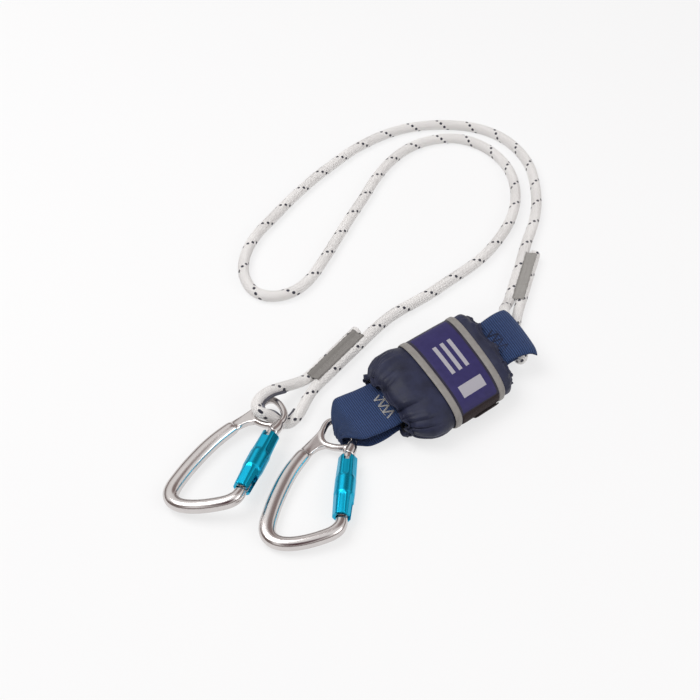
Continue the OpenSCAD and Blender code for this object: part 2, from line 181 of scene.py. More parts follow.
def joined(name, parts):
    """One object out of several."""
    for o in bpy.context.selected_objects:
        o.select_set(False)
    for o in parts:
        o.select_set(True)
    bpy.context.view_layer.objects.active = parts[0]
    bpy.ops.object.join()
    parts[0].name = parts[0].data.name = name
    return parts[0]


def faced_out(o):
    """Turns a closed mesh's faces outwards."""
    bm = bmesh.new()
    bm.from_mesh(o.data)
    bmesh.ops.recalc_face_normals(bm, faces=bm.faces)
    bm.to_mesh(o.data)
    bm.free()


def applied(o, kind, **settings):
    m = o.modifiers.new(kind, kind)
    for k, v in settings.items():
        setattr(m, k, v)
    bpy.context.view_layer.objects.active = o
    bpy.ops.object.modifier_apply(modifier=m.name)
    return o


# ---- materials ----


class Graph:
    """A short way to write a material's nodes."""

    def __init__(self, name, color, rough, metal=0.0, **sockets):
        self.material = bpy.data.materials.new(name)
        self.material.use_nodes = True
        self.tree = self.material.node_tree
        self.shader = self.tree.nodes["Principled BSDF"]
        self.set("Base Color", (*color, 1.0))
        self.set("Roughness", rough)
        self.set("Metallic", metal)
        for k, v in sockets.items():
            self.set(k.replace("_", " "), v)
        self.material.diffuse_color = (*color, 1.0)

    def set(self, socket, value):
        if isinstance(value, bpy.types.NodeSocket):
            self.tree.links.new(value, self.shader.inputs[socket])
        else:
            self.shader.inputs[socket].default_value = value

    def node(self, kind, values=(), **settings):
        n = self.tree.nodes.new("ShaderNode" + kind)
        for k, v in settings.items():
            setattr(n, k, v)
        for k, v in dict(values).items():
            if isinstance(v, bpy.types.NodeSocket):
                self.tree.links.new(v, n.inputs[k])
            else:
                n.inputs[k].default_value = v
        return n

    def math(self, operation, *values):
        return self.node("Math", enumerate(values), operation=operation).outputs[0]

    def uv(self):
        split = self.node("SeparateXYZ", {0: self.node("UVMap", uv_map="route").outputs[0]})
        return split.outputs[0], split.outputs[1]

    def place(self):
        return self.node("TexCoord").outputs["Object"]

    def noise(self, scale, detail=3.0, vector=None):
        values = {"Scale": scale, "Detail": detail}
        values["Vector"] = vector or self.place()
        return self.node("TexNoise", values).outputs["Fac"]

    def ramp(self, value, low, high, a=0.0, b=1.0):
        values = {"Value": value, "From Min": low, "From Max": high, "To Min": a, "To Max": b}
        return self.node("MapRange", values).outputs["Result"]

    def mix(self, share, a, b):
        n = self.node("Mix", data_type="RGBA")
        for k, v in ((0, share), (6, a), (7, b)):
            if isinstance(v, bpy.types.NodeSocket):
                self.tree.links.new(v, n.inputs[k])
            else:
                n.inputs[k].default_value = v if k == 0 else (*v, 1.0)
        return n.outputs[2]

    def bump(self, height, distance, strength=1.0, normal=None):
        values = {"Height": height, "Distance": distance, "Strength": strength}
        if normal is not None:
            values["Normal"] = normal
        out = self.node("Bump", values).outputs[0]
        self.set("Normal", out)
        return out


def dress(o, *graphs):
    o.data.materials.clear()
    for g in graphs:
        o.data.materials.append(g.material)
    return o


STRANDS = 16  # strands each way in the rope's sheath
LAY = 0.0328  # length of one turn of a sheath strand, in metres
TRACER_START = 0.528  # where round the rope the tracer starts, in turns
RIB = 0.0019  # pitch of the webbing's ribs, in metres


def rope_material():
    g = Graph("braided_polyamide", (0.8, 0.78, 0.75), 0.72, Sheen_Weight=0.25)
    along, around = g.uv()
    turn = g.math("DIVIDE", along, LAY)
    left, right = g.math("ADD", around, turn), g.math("SUBTRACT", around, turn)
    cells = [g.math("MULTIPLY", x, float(STRANDS)) for x in (left, right)]
    ridge = [g.math("ABSOLUTE", g.math("SINE", g.math("MULTIPLY", x, math.pi))) for x in cells]
    floors = g.math("ADD", *[g.math("FLOOR", x) for x in cells])
    over = g.math("FLOORED_MODULO", floors, 2.0)
    under = g.math("SUBTRACT", 1.0, over)
    height = g.math(
        "ADD", g.math("MULTIPLY", ridge[0], over), g.math("MULTIPLY", ridge[1], under)
    )
    # The tracer: one dark strand, seen where it passes over the others
    right_turn = g.math("FRACT", g.math("ADD", right, TRACER_START))
    near = g.math("MULTIPLY", g.math("SUBTRACT", right_turn, 0.5), 28.0)
    left_turn = g.math("FRACT", g.math("MULTIPLY", left, 4.0))
    shown = g.math("MULTIPLY", g.math("SUBTRACT", left_turn, 0.5), 6.3)
    far = g.math("ADD", g.math("MULTIPLY", near, near), g.math("MULTIPLY", shown, shown))
    dot = g.ramp(far, 3.7, 2.5)
    fine = g.noise(900.0, 4.0)
    # Painted shade: the braid is painted darker in its grooves and paler on its crests, following
    # the same height as the braid bump.
    shade = g.mix(g.ramp(height, 0.0, 0.75), (0.62, 0.595, 0.585), (0.9, 0.89, 0.875))
    # Random darker patches of dirt laid over the painted groove shade.
    shade = g.mix(g.ramp(g.noise(24.0, 3.0), 0.45, 0.75, 0.0, 0.18), shade, (0.72, 0.69, 0.665))
    g.set("Base Color", g.mix(dot, shade, (0.012, 0.012, 0.03)))
    first = g.bump(height, 0.0004, 0.9)
    g.bump(fine, 0.0002, 0.35, first)
    return g


def thread_material(name, color, rough=0.6, sheen=0.3):
    g = Graph(name, color, rough, Sheen_Weight=sheen)
    spot = g.noise(1400.0, 3.0)
    g.set("Base Color", g.mix(spot, [c * 0.72 for c in color], [min(1, c * 1.2) for c in color]))
    g.bump(spot, 0.0002, 0.5)
    return g


def webbing_material():
    g = Graph("navy_webbing", (0.03, 0.042, 0.11), 0.68, Sheen_Weight=0.08, Specular_IOR_Level=0.2)
    along, across = g.uv()
    rib = g.math("SINE", g.math("MULTIPLY", along, 2 * math.pi / RIB))
    yarn = g.math("SINE", g.math("MULTIPLY", across, 2 * math.pi * 62))
    height = g.math("ADD", rib, g.math("MULTIPLY", yarn, 0.5))
    # Painted shade: the webbing is painted darker in the grooves between its ribs and yarns and
    # paler on their crests, following the same height as the bump.
    tone = g.mix(g.ramp(height, -1.2, 1.2), (0.01, 0.019, 0.06), (0.04, 0.088, 0.23))
    tone = g.mix(g.ramp(g.noise(30.0, 4.0), 0.35, 0.7, 0.0, 0.35), tone, (0.016, 0.026, 0.085))
    g.set("Base Color", tone)
    first = g.bump(height, 0.00025, 0.8)
    g.bump(g.noise(2200.0, 2.0), 0.0001, 0.4, first)
    return g


def nylon_material(name, dark, light, rough=0.5, weave=0.0009):
    g = Graph(name, dark, rough, Sheen_Weight=0.04, Specular_IOR_Level=0.28)
    along, around = g.uv()
    a = g.math("SINE", g.math("MULTIPLY", along, 2 * math.pi / weave))
    b = g.math("SINE", g.math("MULTIPLY", around, 2 * math.pi / weave))
    cloth = g.math("MULTIPLY", a, b)
    crease = g.noise(70.0, 6.0)
    # Painted shade: the cloth is painted dark in the hollows of its creases and light on their
    # crests, following the same noise as the crease bump.
    g.set("Base Color", g.mix(g.ramp(crease, 0.3, 0.7), dark, light))
    g.set("Roughness", g.ramp(crease, 0.3, 0.7, rough - 0.08, rough + 0.1))
    first = g.bump(g.math("ADD", g.math("MULTIPLY", cloth, 0.5), 0.5), 0.0001, 0.5)
    g.bump(crease, 0.0014, 0.5, first)
    return g


def tape_material():
    g = Graph("reflective_tape", (0.24, 0.225, 0.21), 0.45, Sheen_Weight=0.1)
    along, around = g.uv()
    a = g.math("SINE", g.math("MULTIPLY", along, 2 * math.pi / 0.0012))
    b = g.math("SINE", g.math("MULTIPLY", around, 2 * math.pi / 0.0012))
    cell = g.math("MULTIPLY", a, b)
    g.set("Base Color", g.mix(g.noise(160.0, 4.0), (0.19, 0.178, 0.165), (0.285, 0.27, 0.255)))
    g.bump(cell, 0.00012, 0.5)
    return g


def velcro_material():
    g = Graph("hook_and_loop", (0.02, 0.013, 0.014), 0.9, Sheen_Weight=0.05, Specular_IOR_Level=0.2)
    fuzz = g.noise(1300.0, 5.0)
    g.set("Base Color", g.mix(fuzz, (0.01, 0.007, 0.008), (0.045, 0.03, 0.03)))
    g.bump(fuzz, 0.0009, 0.9)
    return g


def metal_material(name, color, rough, wear=0.06, scratch=0.3, **sockets):
    g = Graph(name, color, rough, 1.0, **sockets)
    stretched = g.node(
        "Mapping", {0: g.place(), "Scale": (1.0, 0.12, 1.0)}
    ).outputs[0]
    lines = g.noise(1500.0, 4.0, stretched)
    cloud = g.noise(60.0, 4.0)
    g.set("Roughness", g.ramp(cloud, 0.3, 0.75, rough, rough + wear))
    g.set("Base Color", g.mix(g.ramp(cloud, 0.35, 0.7), color, [c * 0.9 for c in color]))
    g.bump(lines, 0.00003, scratch)
    return g


rope_look = rope_material()
seam_look = thread_material("grey_seam_thread", (0.2, 0.19, 0.178))
# The second splice's thread is given a paler grey than the first's.
paler_seam_look = thread_material("paler_seam_thread", (0.3, 0.29, 0.275))
light_thread = thread_material("pale_seam_thread", (0.46, 0.45, 0.43))
dark_thread = thread_material("dark_seam_thread", (0.012, 0.017, 0.05), 0.8, 0.0)
webbing_look = webbing_material()
# Each cloth below gets two colours: the darker one painted into the hollows of its creases as
# shade, the paler one onto their crests as light.
cover_look = nylon_material("cover_nylon", (0.01, 0.012, 0.03), (0.02, 0.024, 0.06))
wrap_look = nylon_material("wrap_nylon", (0.014, 0.012, 0.026), (0.022, 0.02, 0.042), 0.45)
hem_look = nylon_material("hem_elastic", (0.008, 0.008, 0.012), (0.016, 0.016, 0.022), 0.7)
tape_look = tape_material()
velcro_look = velcro_material()
forged_look = metal_material("polished_aluminium", (0.66, 0.625, 0.615), 0.17, 0.05, 0.06)
matte_look = metal_material("blasted_aluminium", (0.52, 0.5, 0.49), 0.4, 0.1, 0.15)
steel_look = metal_material("turned_steel", (0.5, 0.5, 0.5), 0.3)
dark_steel_look = metal_material("liner_steel", (0.16, 0.165, 0.2), 0.3)
spring_look = metal_material("spring_steel", (0.42, 0.42, 0.43), 0.33)
blue_look = metal_material(
    "anodised_blue", (0.004, 0.42, 0.65), 0.27, 0.06, Coat_Weight=0.15, Coat_Roughness=0.2
)


def knurl_material():
    g = Graph("knurled_blue", (0.01, 0.36, 0.56), 0.42, 1.0)
    split = g.node("SeparateXYZ", {0: g.place()})
    x, y, z = split.outputs[:3]
    turn = g.math("MULTIPLY", g.math("ARCTAN2", y, x), 22.0)
    rise = g.math("MULTIPLY", z, 2600.0)
    pattern = g.math(
        "MULTIPLY", g.math("SINE", g.math("ADD", turn, rise)),
        g.math("SINE", g.math("SUBTRACT", turn, rise)),
    )
    g.bump(pattern, 0.00018, 0.7)
    g.set("Roughness", g.ramp(pattern, -1.0, 1.0, 0.36, 0.5))
    return g


knurl_look = knurl_material()


def panel_material():
    """The label's cloth, with plain bars and a blank field in place of any print."""
    g = Graph("label_cloth", (0.03, 0.028, 0.1), 0.5, Specular_IOR_Level=0.25)
    along, around = g.uv()

    def block(a0, a1, b0, b1):
        inside = [
            g.math("GREATER_THAN", along, a0), g.math("LESS_THAN", along, a1),
            g.math("GREATER_THAN", around, b0), g.math("LESS_THAN", around, b1),
        ]
        return g.math(
            "MULTIPLY", g.math("MULTIPLY", inside[0], inside[1]),
            g.math("MULTIPLY", inside[2], inside[3]),
        )

    marks = [block(0.2, 0.8, 0.76, 0.88)]
    marks += [block(at, at + 0.09, 0.26, 0.62) for at in (0.27, 0.455, 0.64)]
    lit = marks[0]
    for m in marks[1:]:
        lit = g.math("MAXIMUM", lit, m)
    border = g.math("SUBTRACT", 1.0, block(0.035, 0.965, 0.012, 0.988))
    cloth = g.mix(g.noise(220.0, 4.0), (0.018, 0.014, 0.075), (0.032, 0.026, 0.12))
    tone = g.mix(lit, cloth, (0.36, 0.35, 0.39))
    g.set("Base Color", g.mix(border, tone, (0.014, 0.012, 0.03)))
    weave = g.math(
        "MULTIPLY", g.math("SINE", g.math("MULTIPLY", along, 230.0)),
        g.math("SINE", g.math("MULTIPLY", around, 420.0)),
    )
    g.bump(weave, 0.0001, 0.45)
    return g


panel_look = panel_material()

# ---- rope ----

ROPE_R, EYE_R = 5.25, 4.8
rope_route = [
    [-28.5, -46.5], [-15, -28.5], [-1, -10], [12.5, 7.5], [26, 25], [41, 41], [58, 54],
    [76, 68], [92, 83], [109, 98], [126, 115], [142, 137], [156, 162], [166, 189],
    [171, 221], [168, 254], [157, 280], [141, 299], [120, 310], [98, 310], [76, 302],
    [56, 286], [39, 263], [25, 236], [14, 208], [2, 181], [-9, 154], [-19, 129],
    [-29, 105], [-40, 83], [-55, 68], [-74, 63], [-92, 72], [-102, 98], [-100, 127],
    [-91, 153], [-78, 175], [-65, 198], [-51, 220], [-36, 242], [-19, 263], [-2, 284],
    [17, 302], [37, 317], [58, 328], [80, 334], [102, 336], [125, 334], [146, 327],
    [165, 313], [180, 292], [190, 263], [192, 231], [190, 198], [183, 167], [173, 139],
    [163.5, 107.5], [155, 81], [147, 55.5],
]
tail_a = [[6, 18, 5.25], [-37.5, -39.6, 5.25]]
tail_b = [[157, 52.4, 5.25], [179, 121.4, 5.25]]
eye_a_route = [
    [-37.5, -39.6, 5.25], [-47, -48, 9], [-58, -56.5, 14], [-68, -65, 18.6], [-75, -74, 20.5],
    [-77.5, -82.5, 21], [-74.6, -88.8, 20.6], [-70, -89, 18.2], [-65, -87.2, 12.8],
    [-58.6, -89.2, 7], [-50, -88, 5.25], [-43.5, -80, 5.25], [-39.5, -70, 5.25],
    [-34.5, -57, 5.25], [-28.5, -46.5, 5.25],
]
eye_b_route = [
    [157, 52.4, 5.25], [153, 38, 5.25], [149, 22, 5.25], [147.6, 4, 5.25], [147.2, -7.8, 5.25],
    [148.2, -14.4, 5.25], [149.6, -17.9, 7.3], [150.3, -19.4, 12.2], [149.6, -17.9, 17.1],
    [148.2, -14.4, 19], [147.2, -7.8, 19.2], [144.4, 3, 19.2], [139.8, 17, 19.2],
    [138.4, 30, 18.8], [141.8, 43, 11], [147, 55.5, 5.25],
]


def straight(ends):
    start, end = [np.array(p) for p in ends]
    return np.array([start * (1 - t) + end * t for t in np.linspace(0, 1, 40)])


def rope_line():
    """The rope's middle line as rows of x, y, z and radius, and how far along each one is."""
    runs = [
        (straight(tail_a), ROPE_R),
        (curve(eye_a_route, 8), EYE_R),
        (curve([[x, y, ROPE_R] for x, y in rope_route], 10), ROPE_R),
        (curve(eye_b_route[::-1], 8), EYE_R),
        (straight(tail_b), ROPE_R),
    ]
    rows = [np.append(p, r) for line, r in runs for p in line[:-1]]
    rows.append(np.append(runs[-1][0][-1], ROPE_R))
    rows = np.array(rows)
    soft = rows.copy()
    for _ in range(14):  # rounds the corners where one run meets the next, and blends the radii
        soft[1:-1] = 0.25 * soft[:-2] + 0.5 * soft[1:-1] + 0.25 * soft[2:]
    return even(soft, 1.0)


def rope():
    rows, at = rope_line()
    p, r = metres(rows[:, :3]), rows[:, 3] / 1000
    sides = 2 * STRANDS
    grain = np.cos(math.pi * np.arange(len(p)))[:, None] * np.cos(math.pi * np.arange(sides))
    verts, faces, uv = tube_parts(p, r - 0.0001, sides, at / 1000, 0.00011 * grain)
    o = mesh_object("rope_line", verts, faces, uv)
    dress(o, rope_look)
    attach(o, ROOT)
    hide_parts("rope", "rope_eye_a", "rope_eye_b", "rope_tail_a", "rope_tail_b")
    long = float(np.linalg.norm(np.diff(p, axis=0), axis=1).sum())
    return o, p, long


rope_piece, rope_path, rope_length = rope()


SEAM_LONG = 66.0


def splice_seam(which, start, end, offset, shift, wide, node, look):
    """Dense zigzag sewing over the two strands of a splice, on a bed in the same thread material.
    """
    start, end = np.array(start[:2], float), np.array(end[:2], float)
    way = (end - start) / np.linalg.norm(end - start)
    side = np.array([-way[1], way[0]])

    def height(y):
        strands = [
            ROPE_R + math.sqrt(max(0.0, ROPE_R**2 - (y - c) ** 2)) for c in (-ROPE_R, ROPE_R)
        ]
        return max(max(strands), 9.1 + 0.02 * y * y)

    def at(s, y, lift):
        q = start + way * (2 + s) + side * (offset + shift + y)
        return [q[0], q[1], height(y + shift) + lift]

    wavy = [wide * (1 + 0.05 * math.sin(0.9 * i + 1.3)) for i in range(61)]
    bed = [[at(SEAM_LONG * i / 60, w * (j / 12 - 0.5), 0.12) for j in range(13)]
           for i, w in enumerate(wavy)]
    verts = metres(bed).reshape(-1, 3)
    faces, corners = grid_faces(61, 13, wrap_cols=False)
    sheet = mesh_object("bed_" + which, verts, faces, (corners / 13).reshape(-1, 2))
    applied(sheet, "SOLIDIFY", thickness=0.0006, offset=-1.0)
    line = []
    rows = 86
    for i in range(rows):
        reach = wide / 2 + draw.uniform(-0.35, 0.55)
        sign = 1 if i % 2 else -1
        for k in range(9):
            t = k / 9
            y = sign * reach * (2 * t - 1)
            line.append(at(SEAM_LONG * (i + t) / rows, y, 0.38 + 0.12 * draw.random()))
    thread = tube("thread_" + which, metres(line), 0.00046, 6)
    edge = []
    for sign in (-1, 1):
        row = [at(SEAM_LONG * i / 40, sign * (wide / 2 + 0.3 + draw.uniform(-0.3, 0.3)), 0.3)
               for i in range(41)]
        edge.append(tube("edge_%s_%d" % (which, sign), metres(row), 0.0004, 6))
    o = joined("splice_seam_" + which, [thread, sheet, *edge])
    dress(o, look)
    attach(o, ROOT)
    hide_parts(node)
    return o


seams = [
    splice_seam("a", tail_a[1], tail_a[0], -ROPE_R, 0, 11.4, "splice_stitching_a", seam_look),
    splice_seam("b", tail_b[0], tail_b[1], ROPE_R, -2.2, 9.4, "splice_stitching_b", paler_seam_look),
]

# ---- carabiners ----

CONNECTORS = {
    "a": ([-114.3, -142.8, 9.1], (0, -11.6, -27.1)),
    "b": ([-41.5, -172.6, 6.55], (0, -3.6, -12)),
}
HINGE, GATE_TILT = (0.030, 0.050), 7.33


def turned(degrees):
    x, y, z = [math.radians(v) for v in degrees]
    return Matrix.Rotation(z, 4, "Z") @ Matrix.Rotation(y, 4, "Y") @ Matrix.Rotation(x, 4, "X")


def connector_frame(which):
    at, turn = CONNECTORS[which]
    return Matrix.Translation(metres(at)) @ turned(turn)


def gate_frame(which):
    return connector_frame(which) @ Matrix.Translation((*HINGE, 0)) @ turned((90, 0, GATE_TILT))


bar_line = [
    [37.1, -5.5, 9.4, 9.4], [37.6, -9.5, 10, 10], [36.4, -14.4, 10.6, 10.6],
    [32.4, -19.3, 10.6, 10.6], [26, -23.8, 10.6, 10.6], [18, -28.3, 10.6, 10.6],
    [10, -31.8, 10.6, 10.6], [2, -34, 10.6, 10.6], [-5, -34.3, 11, 10.6],
    [-11.5, -32, 12, 10.6], [-16, -27, 13, 10.6], [-18, -20, 13.6, 10.6],
    [-18.3, -11, 13.6, 10.6], [-18, -1, 13.6, 10.6], [-17, 10, 13.6, 10.6],
    [-15.2, 22.5, 13.6, 10.6], [-12.5, 34, 13, 10.6], [-8.7, 45, 12.4, 10.4],
    [-6.4, 50.5, 11.8, 9.6], [-5.3, 53, 11.6, 6], [-1.4, 62, 10.4, 5.2], [2.4, 72, 8, 5],
]
ring_line = [
    [3.2, 71], [3.4, 80], [5.4, 86.5], [10.5, 89], [17.5, 86.8], [24.5, 81.8], [29.6, 75.6],
    [30.6, 69], [27.6, 64], [21.5, 62.2], [14, 62.2], [6.8, 64.6],
]
neck_line = [[29.6, 69, 6.4, 6.4], [30.2, 63, 9.6, 8], [29.2, 56.2, 10.4, 9.6]]
flank = [[-6, 57], [-1, 72], [3.4, 84], [6, 70], [11, 62], [4, 58], [-1.5, 51]]


def flat_sweep(line, steps, sides, closed=False, power=2.3):
    """A closed skin along a line in the XY plane; each point is [x, y, width, thickness]."""
    p = closed_curve(line, steps) if closed else curve(line, steps)
    w = ways(p[:, :2], closed)
    side = np.stack([-w[:, 1], w[:, 0]], 1)
    a = 2 * math.pi * (np.arange(sides) + 0.5) / sides
    c = np.sign(np.cos(a)) * abs(np.cos(a)) ** (2 / power)
    s = np.sign(np.sin(a)) * abs(np.sin(a)) ** (2 / power)
    xy = p[:, None, :2] + side[:, None] * (p[:, 2:3] / 2 * c)[..., None]
    z = p[:, 3:4] / 2 * s
    verts = np.concatenate([xy, z[..., None]], -1).reshape(-1, 3)
    faces = [tuple(f) for f in grid_faces(len(p), sides, wrap_rows=closed)[0]]
    if not closed:
        n = (len(p) - 1) * sides
        faces += [tuple(range(sides))[::-1], tuple(n + j for j in range(sides))]
    return verts, faces


def prism(outline, low, high):
    n = len(outline)
    verts = [(x, y, z) for z in (low, high) for x, y in outline]
    faces = [tuple(range(n))[::-1], tuple(range(n, 2 * n))]
    faces += [(j, (j + 1) % n, n + (j + 1) % n, n + j) for j in range(n)]
    return verts, faces


def in_carabiner(points):
    """From the gate's frame to the carabiner's, in millimetres."""
    m = Matrix.Translation((HINGE[0] * 1000, HINGE[1] * 1000, 0)) @ turned((90, 0, GATE_TILT))
    return [tuple(m @ Vector(p)) for p in points]


def tongue_parts():
    disc = [(4.4 * math.cos(a), 4.4 * math.sin(a)) for a in np.linspace(0, 2 * math.pi, 33)[:-1]]
    round_end = prism(disc, -2, 2)
    round_end = ([(x, -z, y) for x, y, z in round_end[0]], round_end[1])
    shank = prism([(-2.8, -2), (4.4, -2), (4.4, 2), (-2.8, 2)], -8, 0)
    key = prism([(-3.6, -2), (3.6, -2), (3.6, 2), (-3.6, 2)], 45.1, 57.1)
    return [(in_carabiner(v), f) for v, f in (round_end, shank, key)]


def carabiner_mesh():
    """The forged body: its bars, captive eye, flank and hinge tongue fused and eased together."""
    parts = [
        flat_sweep(bar_line, 6, 32),
        flat_sweep([[x, y, 6, 6] for x, y in ring_line], 6, 20, closed=True, power=2),
        flat_sweep(neck_line, 6, 24, power=2),
        prism(flank, -2.6, 2.6),
        *tongue_parts(),
    ]
    verts, faces = [], []
    for v, f in parts:
        faces += [tuple(len(verts) + i for i in q) for q in f]
        verts += [tuple(x / 1000 for x in p) for p in v]
    o = mesh_object("carabiner_form", verts, faces)
    faced_out(o)
    applied(o, "REMESH", mode="VOXEL", voxel_size=0.00055, use_smooth_shade=True)
    applied(o, "SMOOTH", factor=0.5, iterations=7)
    o.data.polygons.foreach_set("use_smooth", [True] * len(o.data.polygons))
    for p in o.data.polygons:
        c = p.center
        flat = abs(p.normal.z) > 0.8 and abs(c.z) < 0.0029
        p.material_index = 1 if flat and c.x < 0.006 and 0.0525 < c.y < 0.082 else 0
    return o


carabiner_form = carabiner_mesh()


def placed(name, source, matrix, body, slot, *replaced):
    o = bpy.data.objects.new(name, source.data)
    bpy.context.scene.collection.objects.link(o)
    o.matrix_world = matrix
    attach(o, body)
    if replaced:
        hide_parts(*replaced)
    return o


dress(carabiner_form, forged_look, matte_look)
for which in "ab":
    placed("forged_body_" + which, carabiner_form, connector_frame(which),
           "carabiner_" + which, "forged_aluminium", "carabiner_body_" + which)
bpy.data.objects.remove(carabiner_form)

SLEEVE_BORE = 4.98
SLEEVE_LOW, SLEEVE_HIGH = -2.8, 54.6
BAND_LOW, BAND_HIGH = 19.6, 33.4


def sleeve_radius(z, a):
    """Outside of the sleeve: a spindle with long flutes whose inner ends are round."""
    keys = [(-2.8, 7.2), (-2.2, 7.75), (8, 8.0), (18.6, 8.35), (19.0, 8.5), (34.0, 8.5),
            (34.4, 8.35), (45, 7.95), (54.1, 7.6), (54.6, 7.1)]
    r = float(np.interp(z, [k[0] for k in keys], [k[1] for k in keys]))
    step = math.pi / 3
    off = ((a - math.pi / 6 + step / 2) % step - step / 2) * r
    depth = 0.0
    for inner, outward in ((15.5, -1), (37.5, 1)):
        past = (z - inner) * outward
        if past > -2.6:
            reach = abs(off) / 2.6
            end = max(0.0, -past / 2.6)
            inside = max(0.0, 1 - reach**2 - end**2)
            depth = max(depth, 0.5 * inside**0.6)
    return r - depth


def sleeve_mesh():
    turns, zs = 120, []
    zs += list(np.linspace(SLEEVE_LOW, 19.4, 42)) + list(np.linspace(20, 33, 12))
    zs += list(np.linspace(33.6, SLEEVE_HIGH, 40))
    around = [2 * math.pi * k / turns for k in range(turns)]
    rings = [[(sleeve_radius(z, a), z) for a in around] for z in zs]
    rings += [[(SLEEVE_BORE, z)] * turns for z in (SLEEVE_HIGH, SLEEVE_LOW)]
    verts = [
        (r * math.cos(a) / 1000, r * math.sin(a) / 1000, z / 1000)
        for ring in rings for a, (r, z) in zip(around, ring)
    ]
    faces, _ = grid_faces(len(rings), turns, wrap_rows=True)
    o = mesh_object("sleeve_form", verts, faces)
    cutters = [
        prism([(0, -2.9), (20, -2.9), (20, 2.9), (0, 2.9)], 41, 61),
        prism([(-2.6, 0), (2.6, 0), (2.6, 20), (-2.6, 20)], -4, 3),
        prism([(-2.6, -20), (2.6, -20), (2.6, 0), (-2.6, 0)], -4, 3),
    ]
    for k, (v, f) in enumerate(cutters):
        c = mesh_object("cutter%d" % k, [tuple(x / 1000 for x in p) for p in v], f)
        applied(o, "BOOLEAN", object=c, operation="DIFFERENCE", solver="EXACT")
        bpy.data.objects.remove(c)
    for p in o.data.polygons:
        c = p.center
        out = math.hypot(c.x, c.y) > 0.0083
        p.material_index = 1 if out and BAND_LOW / 1000 < c.z < BAND_HIGH / 1000 else 0
    applied(o, "BEVEL", width=0.00025, segments=2, limit_method="ANGLE", angle_limit=0.9)
    bpy.context.view_layer.objects.active = o
    o.select_set(True)
    bpy.ops.object.shade_smooth_by_angle(angle=0.7)
    return o


sleeve_form = sleeve_mesh()
dress(sleeve_form, blue_look, knurl_look)
for which in "ab":
    placed("fluted_sleeve_" + which, sleeve_form, gate_frame(which), "sleeve_" + which,
           "anodised_sleeve", "locking_sleeve_" + which)
    dress(nodes["gate_" + which], forged_look)
    for n in ("gate_rivet_", "gate_plunger_", "guide_pin_"):
        dress(nodes[n + which], steel_look)
    for n in ("gate_spring_", "sleeve_spring_"):
        dress(nodes[n + which], spring_look)
bpy.data.objects.remove(sleeve_form)

# The lining of eye a: a half-round metal channel along the inside of the rope
lining = curve(eye_a_route, 8)
lining_way = ways(lining)
inward = np.cross([0, 0, 1], lining_way)
inward = inward / np.linalg.norm(inward, axis=1)[:, None]
lining = (lining + inward * (EYE_R + 1.0))[16:-20]
liner = tube("eye_liner", metres(even(lining, 1.5)[0]), 0.0014, 12)
dress(liner, dark_steel_look)
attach(liner, ROOT)
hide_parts("thimble")

# ---- energy absorber ----

PACK = Matrix.Translation(metres([89.5, -37, 0])) @ turned((0, 0, 29.5))
LEAN, LEAN_GROWTH = 0.052, 0.00106
stations = np.array([
    [-72, -5.5, 36, 3.2, 25], [-64, -6, 39.5, 2.8, 28], [-54, -6, 43, 2.6, 29],
    [-40, -5, 45, 2.6, 29], [-27, -4, 45.5, 2.6, 28.4], [-12, -2, 45.5, 2.6, 29],
    [6, 0.5, 45.5, 2.6, 29], [24, 3, 45.5, 2.6, 28.4], [32, 3.5, 43, 2.8, 27.6],
    [40, 4.5, 39, 3.6, 25],
])


def in_pack(points):
    """Points in the pack's frame, in millimetres, as points in the row frame, in metres."""
    m = np.array(PACK)
    return np.array(points, float) / 1000 @ m[:3, :3].T + m[:3, 3]


def section(x, grow):
    y, half, low, high = [np.interp(x, stations[:, 0], stations[:, k]) for k in (1, 2, 3, 4)]
    return y, half + grow, (low + high) / 2, (high - low) / 2 + grow


def on_pack(x, t, grow):
    """A point on the pack's outside; t goes from its far side over the top to its near side."""
    y, half, middle, high = section(x, grow)
    q = 2 / 2.7
    c, s = math.cos(t), math.sin(t)
    dy = half * math.copysign(abs(c) ** q, c)
    dz = high * math.copysign(abs(s) ** q, s)
    return [x + (LEAN + LEAN_GROWTH * x) * dy, y + dy, middle + dz]


def spread_angles(start, end, count):
    """Angles that put points at even distances round the pack's section."""
    t = np.linspace(start, end, 900)
    p = np.array([on_pack(0, a, 0) for a in t])
    far = np.concatenate([[0], np.cumsum(np.linalg.norm(np.diff(p, axis=0), axis=1))])
    return np.interp(np.linspace(0, far[-1], count), far, t), far[-1]


def shell(name, xs, angles, round_mm, grow, thick, closed, shape=None, ease=0.0):
    """A sheet of cloth on the pack's outside; shape(x, angle) adds to how far out it stands."""
    pts = []
    for i, x in enumerate(xs):
        for j, t in enumerate(angles):
            lift = grow
            if ease:
                edge = min(i, len(xs) - 1 - i, 3) / 3
                if not closed:
                    edge = min(edge, min(j, len(angles) - 1 - j, 3) / 3)
                lift += ease * math.sin(edge * math.pi / 2)
            more = shape(x, t) if shape else (0.0, 0.0)
            pts.append(on_pack(x + more[1], t, lift + more[0]))
    faces, corners = grid_faces(len(xs), len(angles), wrap_cols=closed)
    span = np.array([(xs[-1] - xs[0]) / 1000 / (len(xs) - 1), round_mm / 1000 / len(angles)])
    o = mesh_object(name, in_pack(pts), faces[:, ::-1], (corners[:, ::-1] * span).reshape(-1, 2))
    applied(o, "SOLIDIFY", thickness=thick / 1000, offset=-1.0)
    return o


FULL, ROUND_MM = spread_angles(0, 2 * math.pi, 241)
FULL = FULL[:-1]
WRAP_X, STRIP_X, STRIP_W = -3.4, 25, 6
WRAP_HALF = STRIP_X + STRIP_W / 2
INNER = STRIP_X - STRIP_W / 2 - 1


